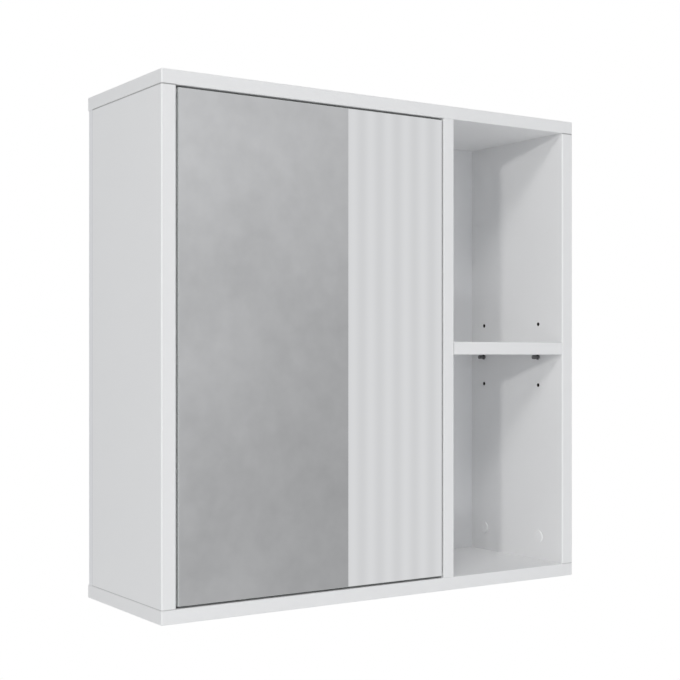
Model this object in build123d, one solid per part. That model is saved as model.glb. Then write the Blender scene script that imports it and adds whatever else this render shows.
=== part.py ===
# Wall-hung bathroom cabinet with a mirrored door over its left bay and an open shelf bay on the right.
# Millimetres. X runs to the right, Y towards the wall and Z up; the front faces -Y.
# The origin lies on the wall plane, under the middle of the case.

import math
import os

from build123d import *

# Case
case_width = 600
case_height = 600
case_depth = 200
side_thickness = 18
board_thickness = 16
back_thickness = 10
back_recess = 3
divider_offset = 384
side_edge_radius = 2
board_edge_radius = 1

# Shelves and their pins
shelf_height = 292
shelf_side_gap = 0.5
inner_shelf_setback = 8
pin_column_front = 47
pin_column_rear = 160
pin_row_step = 41
pin_stem_radius = 2.45
pin_hole_radius = 2.5
pin_hole_depth = 9
pin_stem_inside = 7.5
pin_collar_radius = 3.4
pin_collar_length = 2.2
pin_nose_length = 7.5
pin_chamfer = 0.5

# Door
door_gap = 2.5
door_board_thickness = 16
mirror_thickness = 4
mirror_arris = 0.6
tape_thickness = 1
tape_width = 24
tape_margin = 22
tape_count = 4

# Dowels and cam fittings that join the panels to the top and bottom boards
dowel_radius = 4
dowel_length = 30
dowel_in_board = 10.5
dowel_clearance = 0.05
dowel_chamfer = 1
dowel_step = 32
cam_radius = 7.4
cam_thickness = 12.4
cam_clearance = 0.1
cam_height = 31
cam_slot_depth = 2.5
bolt_thread_radius = 2.5
bolt_thread_length = 11
bolt_shank_radius = 3.4
bolt_neck_radius = 2
bolt_neck_length = 5
bolt_head_radius = 3.2
bolt_head_length = 4
cap_radius = 8.5
cap_thickness = 1.1
cap_edge_radius = 0.5
cap_spigot_radius = 2.5
cap_spigot_length = 1.2

# Screws
screw_clearance = 0.05
recess_width = 0.9
recess_depth = 1.2
back_screw_radius = 1.75
back_screw_head_radius = 3.5
back_screw_length = 30
back_screw_margin = 44
back_screw_rows = 4

# Keyhole plates on the back, for two screws in the wall
hanger_spacing = 500
hanger_drop = 54
hanger_width = 32
hanger_length = 60
hanger_thickness = 2
hanger_corner_radius = 6
keyhole_entry_radius = 5.5
keyhole_slot_radius = 2.5
keyhole_slot_rise = 13
hanger_screw_offset = 23
hanger_screw_radius = 1.5
hanger_screw_head_radius = 3
hanger_screw_length = 10
hanger_pocket_depth = 7
hanger_pocket_radius = 7.5

# Concealed hinges. A place on them is (to the right of the door's hinged edge, behind its rear face)
hinge_inset = 100
cup_edge_distance = 4
cup_radius = 17.4
cup_depth = 11.4
cup_wall = 0.9
cup_clearance = 0.1
cup_flange_radius = 19.5
cup_flange_thickness = 1.2
cup_wing_span = 62
cup_wing_width = 13
cup_wing_offset = 5
cup_screw_spacing = 48
cup_screw_radius = 1.75
cup_screw_head_radius = 3.4
cup_screw_length = 10
link_slot_width = 15
arm_pivot_outer = (40.2, 7.4)
arm_pivot_inner = (52.5, 4.8)
cup_pivot_outer = (8.7, -4.3)
cup_pivot_inner = (14.3, -1.9)
outer_link_bends = ((12.3, -8.1), (29.5, -7.4))
inner_link_bends = ((27.5, -0.6), (34.5, 3.0))
link_half_width = 1.9
link_eye_radius = 2.4
link_pin_radius = 1.2
pin_clearance = 0.05
inner_link_width = 5
outer_link_gap = 6.4
outer_link_plate = 1.6
arm_inner_width = 11
arm_sheet = 1.5
arm_height = 15
arm_flank_depth = 8
arm_bend = 26
arm_length = 62
arm_tip_front = 2
arm_tip_margin = 3.4
arm_tip_rear = 10
plate_height = 13.4
plate_boss = (34, 60)
plate_wing_thickness = 2.5
plate_wing_span = 46
plate_wing_width = 17
plate_screw_spacing = 32
plate_screw_radius = 2.4
plate_screw_head_radius = 4
plate_screw_length = 13
arm_screw_places = (40, 53)
arm_screw_radius = 2.4
arm_screw_head_radius = 3.8
arm_screw_head_height = 2
arm_screw_length = 9

# Push latch on the divider, and its plate on the door
latch_drop = 80
latch_width = 18
latch_body_height = 20
latch_length = 72
latch_corner_radius = 3
latch_ear_length = 12
latch_ear_thickness = 3
latch_setback = 5
latch_screw_radius = 1.75
latch_screw_head_radius = 3.4
latch_screw_length = 14
plunger_radius = 4
plunger_clearance = 0.1
plunger_inside = 34
plunger_press = 2.5
plunger_touch_gap = 0.2
magnet_radius = 3
magnet_length = 3
spring_radius = 2.8
spring_wire_radius = 0.45
spring_turns = 8
spring_length = 24
strike_radius = 6
strike_thickness = 1.5
strike_screw_radius = 1.75
strike_screw_head_radius = 3.2
strike_screw_length = 12


# Positions that follow from the sizes above
left = -case_width / 2
right = case_width / 2
front = -case_depth
back_rear = -back_recess
panel_rear = back_rear - back_thickness
panel_bottom = board_thickness
panel_top = case_height - board_thickness
divider_left = left + divider_offset
divider_right = divider_left + board_thickness
door_bay = (left + side_thickness, divider_left)
open_bay = (divider_right, right - side_thickness)
pin_columns = (front + pin_column_front, front + pin_column_rear)
pin_row_low = shelf_height - pin_row_step
pin_row_used = shelf_height - pin_collar_radius
pin_row_high = shelf_height + pin_row_step
pin_rows = (pin_row_low, pin_row_used, pin_row_high)
dowel_columns = (pin_columns[0] + dowel_step, pin_columns[1] - dowel_step)
door_left = door_bay[0] + door_gap
door_right = door_bay[1] - door_gap
door_bottom = panel_bottom + door_gap
door_top = panel_top - door_gap
mirror_back = front + mirror_thickness
door_board_front = mirror_back + tape_thickness
door_rear = door_board_front + door_board_thickness
hanger_height = case_height - hanger_drop
latch_height = case_height - latch_drop
panel_spans = {
    "left_side_panel": (left, door_bay[0]),
    "centre_divider": (divider_left, divider_right),
    "right_side_panel": (open_bay[1], right),
}
# Which face of each panel the cams are turned from: +1 is its right face, -1 its left face
cam_sides = {"left_side_panel": 1, "centre_divider": -1, "right_side_panel": -1}
edge_radii = {
    "left_side_panel": side_edge_radius,
    "centre_divider": board_edge_radius,
    "right_side_panel": side_edge_radius,
}


def middle(span):
    return (span[0] + span[1]) / 2


def block(x, y, z):
    """A box between pairs of limits."""
    return Pos(middle(x), middle(y), middle(z)) * Box(x[1] - x[0], y[1] - y[0], z[1] - z[0])


def along(start, end):
    """A plane at start that faces end, and the distance between them."""
    run = Vector(*end) - Vector(*start)
    return Plane(origin=start, z_dir=run), run.length


def rod(radius, start, end):
    plane, length = along(start, end)
    return plane * Cylinder(radius, length, align=(Align.CENTER, Align.CENTER, Align.MIN))


def taper(radius, end_radius, start, end):
    plane, length = along(start, end)
    return plane * Cone(radius, end_radius, length, align=(Align.CENTER, Align.CENTER, Align.MIN))


def shift(point, axis, distance):
    """A point moved along an axis given as a unit tuple."""
    return tuple(p + a * distance for p, a in zip(point, axis))


def round_front(board, axis, radius):
    """Round the long edges at the front of a board."""
    return fillet(board.edges().filter_by(axis).group_by(Axis.Y)[0], radius)


def save(name, solids):
    """Write one node: a single solid, or a group of separate ones."""
    solids = list(solids)
    shape = solids[0] if len(solids) == 1 else Compound(children=solids)
    export_step(shape, f"parts/{name}.step")


# Screws: each is given by the middle of its head's flat top and the way its tip points


def countersunk_screw(at, axis, radius, head_radius, length):
    """A countersunk wood screw with a cross recess and a pointed tip."""
    head_depth = head_radius - radius
    tip = 2 * radius
    screw = taper(head_radius, radius, at, shift(at, axis, head_depth))
    screw += rod(radius, shift(at, axis, head_depth), shift(at, axis, length - tip))
    screw += taper(radius, radius / 4, shift(at, axis, length - tip), shift(at, axis, length))
    plane, _ = along(at, shift(at, axis, 1))
    arm = Box(1.2 * head_radius, recess_width, 2 * recess_depth)
    return screw - plane * arm - plane * Rot(0, 0, 90) * arm


def screw_hole(at, axis, radius, head_radius, length):
    """The space that a countersunk screw takes, with its clearance."""
    grown = radius + screw_clearance
    grown_head = head_radius + screw_clearance
    head_depth = head_radius - radius
    hole = taper(grown_head, grown, at, shift(at, axis, head_depth))
    return hole + rod(grown, at, shift(at, axis, length + screw_clearance))


# Joints between the panels and the top and bottom boards


def dowel_places():
    """Middle line of each dowel: its X, Y, the joint's height and the way into the panel."""
    places = []
    for span in panel_spans.values():
        for y in dowel_columns:
            places.append((middle(span), y, panel_bottom, 1))
            places.append((middle(span), y, panel_top, -1))
        for y in pin_columns:
            places.append((middle(span), y, panel_top, -1))
    return places


def dowel(x, y, z, way):
    start = z - way * dowel_in_board
    peg = rod(dowel_radius, (x, y, start), (x, y, start + way * dowel_length))
    return chamfer(peg.edges().filter_by(GeomType.CIRCLE), dowel_chamfer)


def dowel_hole(x, y, z, way):
    start = z - way * (dowel_in_board + dowel_clearance)
    end = start + way * (dowel_length + 2 * dowel_clearance)
    return rod(dowel_radius + dowel_clearance, (x, y, start), (x, y, end))


def cam_places(name):
    """The face point of each cam in a panel, and the way out of the face."""
    side = cam_sides[name]
    x = panel_spans[name][1] if side > 0 else panel_spans[name][0]
    return [((x, y, panel_bottom + cam_height), side) for y in pin_columns]


def cam_hole(at, side):
    x, y, z = at
    depth = cam_thickness + cam_clearance
    hole = rod(cam_radius + cam_clearance, at, (x - side * depth, y, z))
    bolt_x = cam_bolt_x(at, side)
    return hole + rod(bolt_shank_radius + cam_clearance, (bolt_x, y, panel_bottom), (bolt_x, y, z))


def cam_bolt_x(at, side):
    """The bolt runs up the middle of the cam's thickness."""
    return at[0] - side * cam_thickness / 2


def cam(at, side):
    """A cam disc, open below so that it grips the bolt's head, with a cross in its face."""
    x, y, z = at
    inner = x - side * cam_thickness
    disc = rod(cam_radius, (inner, y, z), at)
    bolt_x = cam_bolt_x(at, side)
    grip = bolt_shank_radius + cam_clearance
    cavity = block((bolt_x - grip, bolt_x + grip), (y - grip, y + grip), (z - cam_radius - 1, z + grip))
    disc -= cavity
    disc -= rod(cap_spigot_radius + cam_clearance, (x - side * (cap_spigot_length + cam_clearance), y, z), at)
    for turn in (0, 90):
        disc -= Pos(x, y, z) * Rot(turn, 0, 0) * Box(2 * cam_slot_depth, cam_radius, 2 * recess_width)
    return disc


def cam_bolt(at, side):
    """A bolt that screws into the bottom board and carries its head in the cam."""
    _, y, z = at
    x = cam_bolt_x(at, side)
    head_low = z - bolt_head_length / 2
    neck_low = head_low - bolt_neck_length
    bolt = rod(bolt_thread_radius, (x, y, panel_bottom - bolt_thread_length), (x, y, panel_bottom))
    bolt += rod(bolt_shank_radius, (x, y, panel_bottom), (x, y, neck_low))
    bolt += rod(bolt_neck_radius, (x, y, neck_low), (x, y, head_low))
    return bolt + rod(bolt_head_radius, (x, y, head_low), (x, y, head_low + bolt_head_length))


def cam_bolt_hole(at, side):
    _, y, _ = at
    x = cam_bolt_x(at, side)
    low = panel_bottom - bolt_thread_length - screw_clearance
    return rod(bolt_thread_radius + screw_clearance, (x, y, low), (x, y, panel_bottom))


def cam_cap(at, side):
    """A snap-in cover over a cam."""
    out = (side, 0, 0)
    cap = rod(cap_radius, at, shift(at, out, cap_thickness))
    rim = cap.edges().filter_by(GeomType.CIRCLE).sort_by(Axis.X)[-1 if side > 0 else 0]
    cap = fillet(rim, cap_edge_radius)
    return cap + rod(cap_spigot_radius, shift(at, out, -cap_spigot_length), at)


# Shelf pins


def pin_hole(x, y, z, way):
    """A blind hole for a shelf pin, from a panel's face into the panel."""
    return rod(pin_hole_radius, (x, y, z), (x - way * pin_hole_depth, y, z))


def shelf_pin(x, y, z, way):
    """A stepped pin: stem in the panel, collar under the shelf, then a slimmer nose."""
    out = (way, 0, 0)
    face = (x, y, z)
    collar_end = shift(face, out, pin_collar_length)
    stem = rod(pin_stem_radius, shift(face, out, -pin_stem_inside), face)
    nose = rod(pin_stem_radius, collar_end, shift(collar_end, out, pin_nose_length))
    nose = chamfer(nose.edges().filter_by(GeomType.CIRCLE).sort_by(Axis.X)[-1 if way > 0 else 0], pin_chamfer)
    return stem + rod(pin_collar_radius, face, collar_end) + nose


def pin_faces():
    """Each panel face that carries shelf pins, and the way out of it."""
    return [(door_bay[0], 1), (door_bay[1], -1), (open_bay[0], 1), (open_bay[1], -1)]


# Case boards


def panel(name):
    x = panel_spans[name]
    board = block(x, (front, panel_rear), (panel_bottom, panel_top))
    board = round_front(board, Axis.Z, edge_radii[name])
    for place in dowel_places():
        if x[0] < place[0] < x[1]:
            board -= dowel_hole(*place)
    for at, side in cam_places(name):
        board -= cam_hole(at, side)
    for face, way in pin_faces():
        if x[0] <= face <= x[1]:
            for y in pin_columns:
                for z in pin_rows:
                    board -= pin_hole(face, y, z, way)
    for at in back_screw_places():
        if x[0] < at[0] < x[1]:
            board -= back_screw_hole(at)
    if name == "left_side_panel":
        for z in hinge_heights():
            for at in plate_screw_points(z):
                board -= plate_screw_hole(at)
    if name == "centre_divider":
        for at in latch_screw_places():
            board -= latch_screw_hole(at)
    return board


def cross_board(low):
    """The top or bottom board, its front and side edges eased, with the holes of its joints."""
    high = low + board_thickness
    board = block((left, right), (front, 0), (low, high))
    board = fillet(board.edges().filter_by(Axis.Z).group_by(Axis.Y)[0], side_edge_radius)
    board = round_front(board, Axis.X, board_edge_radius)
    for place in dowel_places():
        if low <= place[2] <= high:
            board -= dowel_hole(*place)
    if low < panel_bottom:
        for name in panel_spans:
            for at, side in cam_places(name):
                board -= cam_bolt_hole(at, side)
    return board


def shelf(bay, setback):
    x = (bay[0] + shelf_side_gap, bay[1] - shelf_side_gap)
    z = (shelf_height, shelf_height + board_thickness)
    return round_front(block(x, (front + setback, panel_rear), z), Axis.X, board_edge_radius)


def back_screw_places():
    rows = back_screw_rows - 1
    low = panel_bottom + back_screw_margin
    high = panel_top - back_screw_margin
    heights = [low + (high - low) * row / rows for row in range(back_screw_rows)]
    return [(middle(span), back_rear, z) for span in panel_spans.values() for z in heights]


def back_screw_hole(at):
    return screw_hole(at, (0, -1, 0), back_screw_radius, back_screw_head_radius, back_screw_length)


def back_board():
    board = block((left, right), (panel_rear, back_rear), (panel_bottom, panel_top))
    for at in back_screw_places():
        board -= back_screw_hole(at)
    for x in hanger_columns():
        board -= keyhole(x, hanger_pocket_radius, hanger_pocket_radius, -hanger_pocket_depth)
        for at in hanger_screw_places(x):
            board -= hanger_screw_hole(at)
    return board


# Wall hangers


def hanger_columns():
    return (-hanger_spacing / 2, hanger_spacing / 2)


def keyhole(x, entry_radius, slot_radius, depth):
    """A keyhole from the back board's rear face, towards the wall or into the board."""
    rise = keyhole_slot_rise
    slot = Pos(0, rise / 2) * Rectangle(2 * slot_radius, rise) + Pos(0, rise) * Circle(slot_radius)
    outline = Circle(entry_radius) + slot
    plane = Plane(origin=(x, back_rear, hanger_height), x_dir=(-1, 0, 0), z_dir=(0, 1, 0))
    return extrude(plane * outline, depth)


def hanger_screw_places(x):
    middle_height = hanger_height + keyhole_slot_rise / 2
    rear = back_rear + hanger_thickness
    return [(x, rear, middle_height + way * hanger_screw_offset) for way in (-1, 1)]


def hanger_screw_hole(at):
    return screw_hole(at, (0, -1, 0), hanger_screw_radius, hanger_screw_head_radius, hanger_screw_length)


def hanger_plate(x):
    """A steel plate with a keyhole, let into the recess behind the back board."""
    middle_height = hanger_height + keyhole_slot_rise / 2
    plane = Plane(origin=(x, back_rear, middle_height), x_dir=(-1, 0, 0), z_dir=(0, 1, 0))
    outline = RectangleRounded(hanger_width, hanger_length, hanger_corner_radius)
    plate = extrude(plane * outline, hanger_thickness)
    plate -= keyhole(x, keyhole_entry_radius, keyhole_slot_radius, hanger_thickness)
    for at in hanger_screw_places(x):
        plate -= hanger_screw_hole(at)
    return plate


# Door


def tape_columns():
    low = door_left + tape_margin
    high = door_right - tape_margin
    return [low + (high - low) * strip / (tape_count - 1) for strip in range(tape_count)]


def mirror_glass():
    glass = block((door_left, door_right), (front, mirror_back), (door_bottom, door_top))
    return chamfer(glass.faces().sort_by(Axis.Y)[0].edges(), mirror_arris)


def mirror_tape(x):
    half = tape_width / 2
    span = (x - half, x + half)
    return block(span, (mirror_back, door_board_front), (door_bottom + tape_margin, door_top - tape_margin))


# Concealed hinges


def hinge_heights():
    return (door_bottom + hinge_inset, door_top - hinge_inset)


def hinge_place(place, z):
    return (door_left + place[0], door_rear + place[1], z)


def cup_axis():
    return (cup_edge_distance + cup_radius + cup_clearance, 0)


def upright(radius, place, z, half):
    """A round bar on a pivot line, reaching as far above z as below it."""
    x, y, _ = hinge_place(place, z)
    return rod(radius, (x, y, z - half), (x, y, z + half))


def cup_pin_half():
    """Half of the cup pin's length: its ends sit in the wall of the cup."""
    reach = cup_axis()[0] - cup_pivot_outer[0] + link_pin_radius
    return math.sqrt(cup_radius**2 - reach**2) - pin_clearance


def cup_screw_points(z):
    x, y, _ = hinge_place(cup_axis(), z)
    at_x = x + cup_wing_offset
    at_y = y + cup_flange_thickness
    return [(at_x, at_y, z + way * cup_screw_spacing / 2) for way in (-1, 1)]


def cup_hole(z):
    """The round recess in the door board and the pilot holes beside it."""
    x, y, _ = hinge_place(cup_axis(), z)
    depth = cup_depth + cup_clearance
    hole = rod(cup_radius + cup_clearance, (x, y - depth, z), (x, y, z))
    for at in cup_screw_points(z):
        hole += cup_screw_hole(at)
    return hole


def cup_screw_hole(at):
    return screw_hole(at, (0, -1, 0), cup_screw_radius, cup_screw_head_radius, cup_screw_length)


def hinge_cup(z):
    """A drawn steel cup with a winged flange, cut away where the links pass."""
    x, y, _ = hinge_place(cup_axis(), z)
    bowl = rod(cup_radius, (x, y - cup_depth, z), (x, y, z))
    bowl = fillet(bowl.edges().filter_by(GeomType.CIRCLE).group_by(Axis.Y)[0], cup_wall)
    wings = Pos(cup_wing_offset, 0) * Rot(0, 0, 90) * SlotOverall(cup_wing_span, cup_wing_width)
    outline = Circle(cup_flange_radius) + wings
    outline -= Rectangle(3 * cup_flange_radius, link_slot_width)
    plane = Plane(origin=(x, y, z), x_dir=(1, 0, 0), z_dir=(0, 1, 0))
    cup = bowl + extrude(plane * outline, cup_flange_thickness)
    floor = y - cup_depth + cup_wall
    cup -= rod(cup_radius - cup_wall, (x, floor, z), (x, y + cup_flange_thickness, z))
    cup -= upright(link_pin_radius + pin_clearance, cup_pivot_outer, z, cup_pin_half() + pin_clearance)
    for at in cup_screw_points(z):
        cup -= cup_screw_hole(at)
    return cup


def bar_outline(points, half_width):
    """The outline of a flat bar that follows the points, round at its ends and bends."""
    outline = Sketch()
    for start, end in zip(points, points[1:]):
        run = Vector(*end) - Vector(*start)
        angle = math.degrees(math.atan2(run.Y, run.X))
        centre = (Vector(*start) + Vector(*end)) / 2
        slot = SlotCenterToCenter(run.length, 2 * half_width, rotation=angle)
        outline += Pos(centre.X, centre.Y) * slot
    return outline


def link_plate(points, eyes, z_low, z_high):
    """A link cut from sheet: a bent bar with an eye at each end, and a pin hole in each eye of the list."""
    flat = [hinge_place(point, 0)[:2] for point in points]
    outline = bar_outline(flat, link_half_width)
    for end in (flat[0], flat[-1]):
        outline += Pos(*end) * Circle(link_eye_radius)
    for eye in eyes:
        x, y, _ = hinge_place(eye, 0)
        outline -= Pos(x, y) * Circle(link_pin_radius + pin_clearance)
    return Pos(0, 0, z_low) * extrude(outline, z_high - z_low)


def outer_link(z, way):
    """One of the two cheeks of the outer link, above or below the inner link."""
    near = z + way * outer_link_gap / 2
    far = near + way * outer_link_plate
    points = (cup_pivot_outer, *outer_link_bends, arm_pivot_outer)
    return link_plate(points, (cup_pivot_outer, arm_pivot_outer), min(near, far), max(near, far))


def inner_link(z):
    half = inner_link_width / 2
    points = (cup_pivot_inner, *inner_link_bends, arm_pivot_inner)
    return link_plate(points, (cup_pivot_inner, arm_pivot_inner), z - half, z + half)


def arm_outline():
    """The arm seen from above: a low flank along the panel, then a crank out to its two pivots."""
    wall = door_bay[0]
    tip = door_left + arm_pivot_inner[0] + arm_tip_margin
    start = door_left + arm_pivot_outer[0] - arm_tip_margin
    rear = door_rear + arm_length
    bend = door_rear + arm_bend
    low = wall + arm_height - arm_flank_depth
    high = wall + arm_height
    points = [
        (low, rear),
        (low, bend),
        (start, door_rear + arm_tip_front),
        (tip, door_rear + arm_tip_front),
        (tip, door_rear + arm_tip_rear),
        (high, bend + arm_flank_depth / 2),
        (high, rear),
    ]
    return make_face(Polyline(*points, close=True))


def hinge_arm(z):
    """A pressed steel channel whose open side faces the panel and the door."""
    half = arm_inner_width / 2 + arm_sheet
    arm = Pos(0, 0, z - half) * extrude(arm_outline(), 2 * half)
    inner = extrude(arm_outline(), arm_inner_width)
    for x in (-arm_sheet, 2 * arm_sheet):
        space = Pos(x, -arm_sheet, z - arm_inner_width / 2) * inner
        if x > 0:
            beyond = door_left + arm_pivot_outer[0] - arm_tip_margin
            space &= block((beyond, beyond + case_depth), (front, 0), (z - half, z + half))
        arm -= space
    for place in (arm_pivot_outer, arm_pivot_inner):
        arm -= upright(link_pin_radius + pin_clearance, place, z, 2 * half)
    for at in arm_screw_points(z):
        arm -= arm_screw_hole(at)
    return arm


def arm_screw_points(z):
    return [(door_bay[0] + arm_height, door_rear + y, z) for y in arm_screw_places]


def arm_screw_hole(at):
    return rod(arm_screw_radius + screw_clearance, at, shift(at, (-1, 0, 0), arm_screw_length + screw_clearance))


def arm_screw(at):
    """A pan-head machine screw that clamps or adjusts the arm on its plate."""
    head_top = shift(at, (1, 0, 0), arm_screw_head_height)
    head = rod(arm_screw_head_radius, at, head_top)
    head = fillet(head.edges().filter_by(GeomType.CIRCLE).group_by(Axis.X)[-1], cup_wall)
    screw = head + rod(arm_screw_radius, shift(at, (-1, 0, 0), arm_screw_length), at)
    plane, _ = along(head_top, at)
    slot = Box(arm_screw_head_radius, recess_width, 2 * recess_depth)
    return screw - plane * slot - plane * Rot(0, 0, 90) * slot


def plate_screw_points(z):
    x = door_bay[0] + plate_wing_thickness
    y = door_rear + middle(plate_boss)
    return [(x, y, z + way * plate_screw_spacing / 2) for way in (-1, 1)]


def plate_screw_hole(at):
    return screw_hole(at, (-1, 0, 0), plate_screw_radius, plate_screw_head_radius, plate_screw_length)


def mounting_plate(z):
    """A winged plate on the side panel, with a raised boss inside the arm."""
    wall = door_bay[0]
    y = (door_rear + plate_boss[0], door_rear + plate_boss[1])
    half = arm_inner_width / 2 - cup_clearance
    plate = block((wall, wall + plate_height), y, (z - half, z + half))
    plane = Plane(origin=(wall, middle(y), z), x_dir=(0, 0, 1), z_dir=(1, 0, 0))
    plate += extrude(plane * SlotOverall(plate_wing_span, plate_wing_width), plate_wing_thickness)
    for at in plate_screw_points(z):
        plate -= plate_screw_hole(at)
    for at in arm_screw_points(z):
        plate -= arm_screw_hole(at)
    return plate


def build_hinges():
    heights = hinge_heights()
    arm_half = arm_inner_width / 2 + arm_sheet
    rivet_half = outer_link_gap / 2 - pin_clearance
    pivots = (arm_pivot_outer, arm_pivot_inner)
    save("hinge_cups", [hinge_cup(z) for z in heights])
    save("hinge_cup_pins", [upright(link_pin_radius, cup_pivot_outer, z, cup_pin_half()) for z in heights])
    save("hinge_arm_pins", [upright(link_pin_radius, place, z, arm_half) for z in heights for place in pivots])
    save("hinge_outer_links", [outer_link(z, way) for z in heights for way in (-1, 1)])
    save("hinge_inner_links", [inner_link(z) for z in heights])
    save("hinge_inner_rivets", [upright(link_pin_radius, cup_pivot_inner, z, rivet_half) for z in heights])
    save("hinge_arms", [hinge_arm(z) for z in heights])
    save("hinge_mounting_plates", [mounting_plate(z) for z in heights])
    save("hinge_arm_screws", [arm_screw(at) for z in heights for at in arm_screw_points(z)])
    into_door = (0, -1, 0)
    cup_sizes = (cup_screw_radius, cup_screw_head_radius, cup_screw_length)
    cup_points = [at for z in heights for at in cup_screw_points(z)]
    save("hinge_cup_screws", [countersunk_screw(at, into_door, *cup_sizes) for at in cup_points])
    into_panel = (-1, 0, 0)
    plate_sizes = (plate_screw_radius, plate_screw_head_radius, plate_screw_length)
    plate_points = [at for z in heights for at in plate_screw_points(z)]
    save("hinge_plate_screws", [countersunk_screw(at, into_panel, *plate_sizes) for at in plate_points])


# Push latch


latch_x = (divider_left - latch_width, divider_left)
latch_front = door_rear + latch_setback
latch_rear = latch_front + latch_length
latch_axis_x = middle(latch_x)
strike_rear = door_rear + strike_thickness
plunger_tip = strike_rear + plunger_touch_gap
bore_end = latch_front + plunger_inside + plunger_press + spring_length
latch_ear_rear = latch_rear + latch_ear_length


def latch_body():
    """A slim housing with a round bore for the plunger and a screw ear at its rear end and its front top."""
    half = latch_body_height / 2
    z = (latch_height - half, latch_height + half)
    body = block(latch_x, (latch_front, latch_rear), z)
    body = fillet(body.edges().filter_by(Axis.Y).group_by(Axis.X)[0], latch_corner_radius)
    ear_x = (divider_left - latch_ear_thickness, divider_left)
    body += block(ear_x, (latch_rear, latch_ear_rear), z)
    body += block(ear_x, (latch_front, latch_front + latch_ear_length), (z[1], z[1] + latch_ear_length))
    axis_low = (latch_axis_x, latch_front, latch_height)
    body -= rod(plunger_radius + plunger_clearance, axis_low, (latch_axis_x, bore_end, latch_height))
    for at in latch_screw_places():
        body -= latch_screw_hole(at)
    return body


def latch_screw_hole(at):
    return screw_hole(at, (1, 0, 0), latch_screw_radius, latch_screw_head_radius, latch_screw_length)


def latch_screw_places():
    x = divider_left - latch_ear_thickness
    half = latch_ear_length / 2
    above = latch_height + latch_body_height / 2 + half
    return [(x, latch_rear + half, latch_height), (x, latch_front + half, above)]


def latch_plunger():
    tip = (latch_axis_x, plunger_tip, latch_height)
    end = (latch_axis_x, latch_front + plunger_inside, latch_height)
    plunger = rod(plunger_radius, tip, end)
    plunger = fillet(plunger.edges().filter_by(GeomType.CIRCLE).sort_by(Axis.Y)[0], pin_chamfer)
    return plunger - rod(magnet_radius, tip, (latch_axis_x, plunger_tip + magnet_length, latch_height))


def latch_magnet():
    tip = (latch_axis_x, plunger_tip, latch_height)
    return rod(magnet_radius, tip, (latch_axis_x, plunger_tip + magnet_length, latch_height))


def latch_spring():
    """A compression spring between the plunger's end and the end of the bore."""
    low = latch_front + plunger_inside + spring_wire_radius
    high = bore_end - spring_wire_radius
    pitch = (high - low) / spring_turns
    plane = Plane(origin=(latch_axis_x, low, latch_height), x_dir=(1, 0, 0), z_dir=(0, 1, 0))
    path = plane * Helix(pitch=pitch, height=high - low, radius=spring_radius)
    start = path @ 0
    section = Plane(origin=start, z_dir=path % 0) * Circle(spring_wire_radius)
    return sweep(section, path=path)


def strike_place():
    return (latch_axis_x, strike_rear, latch_height)


def strike_plate():
    """A steel disc on the door that the plunger's magnet holds."""
    x, y, z = strike_place()
    plate = rod(strike_radius, (x, door_rear, z), (x, y, z))
    return plate - strike_screw_hole()


def strike_screw_hole():
    at = strike_place()
    return screw_hole(at, (0, -1, 0), strike_screw_radius, strike_screw_head_radius, strike_screw_length)


# Everything together


def build_case():
    for name in panel_spans:
        save(name, [panel(name)])
    save("bottom_board", [cross_board(0)])
    save("top_board", [cross_board(panel_top)])
    save("back_board", [back_board()])
    save("open_shelf", [shelf(open_bay, 0)])
    save("inner_shelf", [shelf(door_bay, door_rear - front + inner_shelf_setback)])


def build_fasteners():
    cams = [place for name in panel_spans for place in cam_places(name)]
    save("wooden_dowels", [dowel(*place) for place in dowel_places()])
    save("cam_locks", [cam(*place) for place in cams])
    save("cam_bolts", [cam_bolt(*place) for place in cams])
    save("cam_cover_caps", [cam_cap(*place) for place in cams])
    pins = [(x, y, pin_row_used, way) for x, way in pin_faces() for y in pin_columns]
    save("shelf_pins", [shelf_pin(*place) for place in pins])
    rear = (0, -1, 0)
    back_sizes = (back_screw_radius, back_screw_head_radius, back_screw_length)
    save("back_screws", [countersunk_screw(at, rear, *back_sizes) for at in back_screw_places()])
    save("hanger_plates", [hanger_plate(x) for x in hanger_columns()])
    hanger_sizes = (hanger_screw_radius, hanger_screw_head_radius, hanger_screw_length)
    places = [at for x in hanger_columns() for at in hanger_screw_places(x)]
    save("hanger_screws", [countersunk_screw(at, rear, *hanger_sizes) for at in places])


def build_latch():
    save("latch_body", [latch_body()])
    save("latch_plunger", [latch_plunger()])
    save("latch_magnet", [latch_magnet()])
    save("latch_spring", [latch_spring()])
    sizes = (latch_screw_radius, latch_screw_head_radius, latch_screw_length)
    save("latch_screws", [countersunk_screw(at, (1, 0, 0), *sizes) for at in latch_screw_places()])
    save("strike_plate", [strike_plate()])
    strike_sizes = (strike_screw_radius, strike_screw_head_radius, strike_screw_length)
    save("strike_screw", [countersunk_screw(strike_place(), (0, -1, 0), *strike_sizes)])


def build_door():
    board = block((door_left, door_right), (door_board_front, door_rear), (door_bottom, door_top))
    board -= strike_screw_hole()
    for z in hinge_heights():
        board -= cup_hole(z)
    save("door_board", [board])
    save("mirror_glass", [mirror_glass()])
    save("mirror_tape", [mirror_tape(x) for x in tape_columns()])


if __name__ == "__main__":
    os.makedirs("parts", exist_ok=True)
    build_case()
    build_fasteners()
    build_door()
    build_hinges()
    build_latch()
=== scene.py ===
import math

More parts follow.
